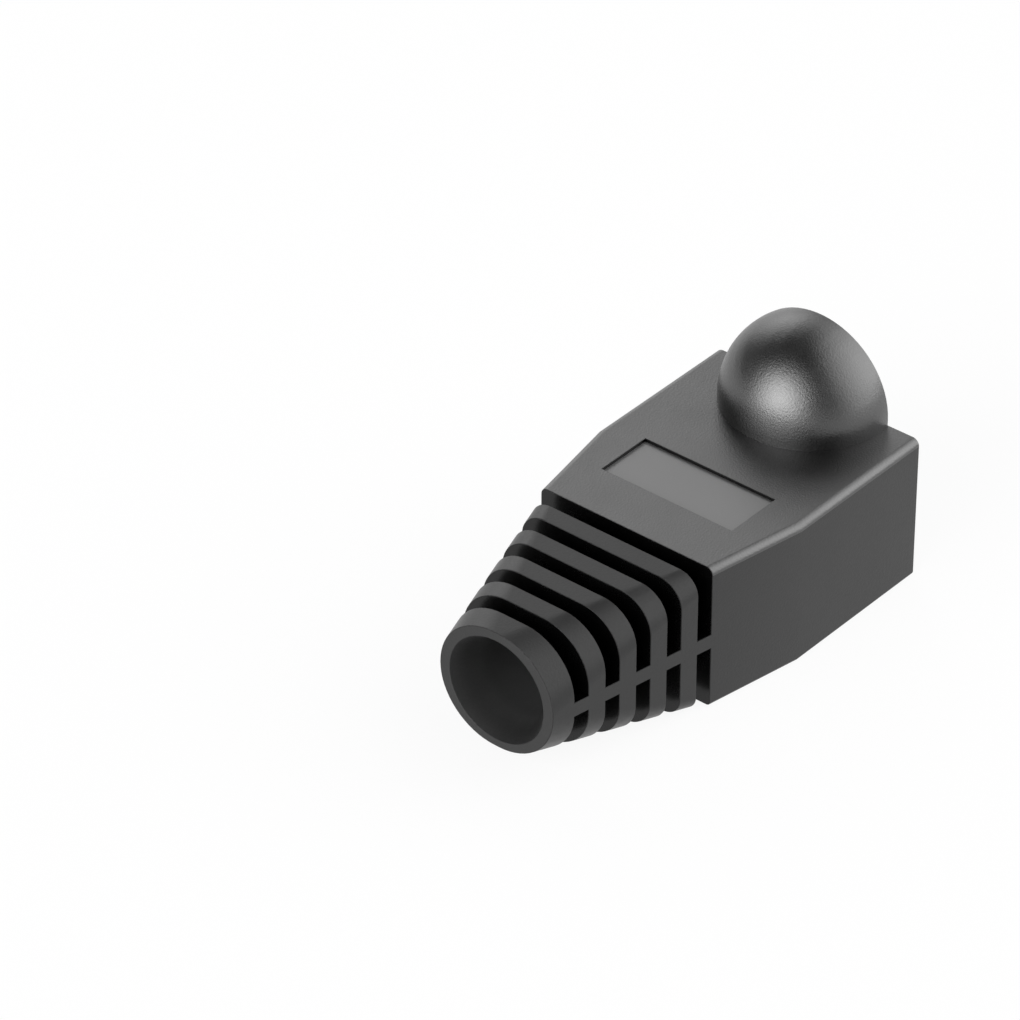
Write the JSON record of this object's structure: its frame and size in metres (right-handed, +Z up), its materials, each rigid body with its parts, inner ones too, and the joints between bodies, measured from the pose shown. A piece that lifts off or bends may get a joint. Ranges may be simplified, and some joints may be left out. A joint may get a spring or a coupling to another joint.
{
  "type": "rj45 strain relief boot",
  "caption": "Moulded strain relief boot: a plug cavity with a round latch hood, then slotted rings that taper to a cable hole.",
  "frame": {"origin": "centre of the footprint, on the plane of the flat underside", "axes": "+X out of the plug mouth, -X out of the cable hole, +Z up through the hood, +Y across the width"},
  "size_m": [0.0274, 0.014, 0.0144],
  "materials": {
    "boot": "satin dark grey soft moulded PVC with a very fine grain"
  },
  "bodies": {
    "root": {"boot": "boot"}
  },
  "joints": []
}
